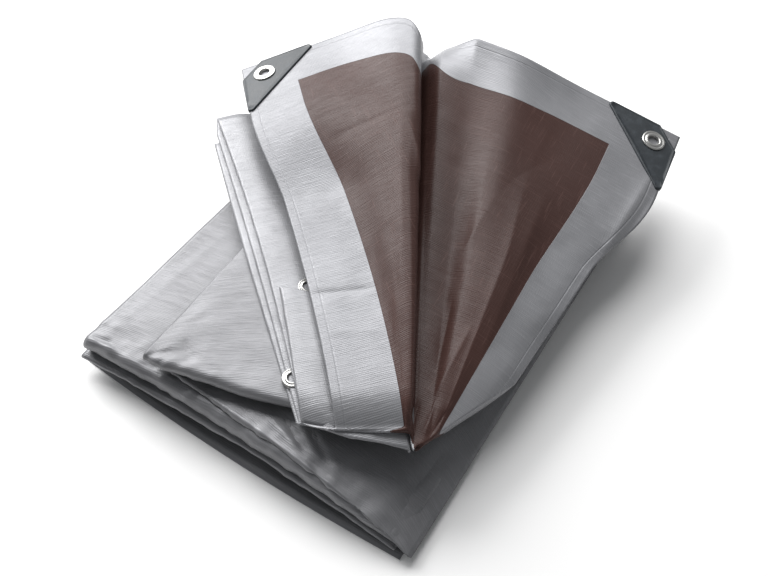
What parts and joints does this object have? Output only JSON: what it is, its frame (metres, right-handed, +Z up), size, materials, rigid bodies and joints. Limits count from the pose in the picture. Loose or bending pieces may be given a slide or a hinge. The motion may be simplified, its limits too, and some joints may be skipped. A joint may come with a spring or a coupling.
{
  "type": "folded tarp",
  "caption": "Coated woven tarp folded into a packet, with its end fanned out on top and a reinforced, eyeleted corner at each side.",
  "frame": {"origin": "on the bottom ply's lower face, on the surface that the tarp lies on, near the middle of the packet", "axes": "+Z up; -Y towards the packet's front folds; +X towards its curled-down right rim"},
  "size_m": [0.4345, 0.4929, 0.1358],
  "materials": {
    "tarp_silver": "silver coated polyethylene weave, semi-gloss, brown on the other side",
    "sleeve_plastic": "satin black moulded plastic",
    "eyelet_metal": "smooth bright metal"
  },
  "bodies": {
    "root": {"tarp_sheet": "tarp_silver", "corner_sleeve_left": "sleeve_plastic", "corner_sleeve_right": "sleeve_plastic", "eyelet_corner_left": "eyelet_metal", "eyelet_corner_right": "eyelet_metal", "eyelet_hem_upper": "eyelet_metal", "eyelet_hem_lower": "eyelet_metal"}
  },
  "joints": []
}
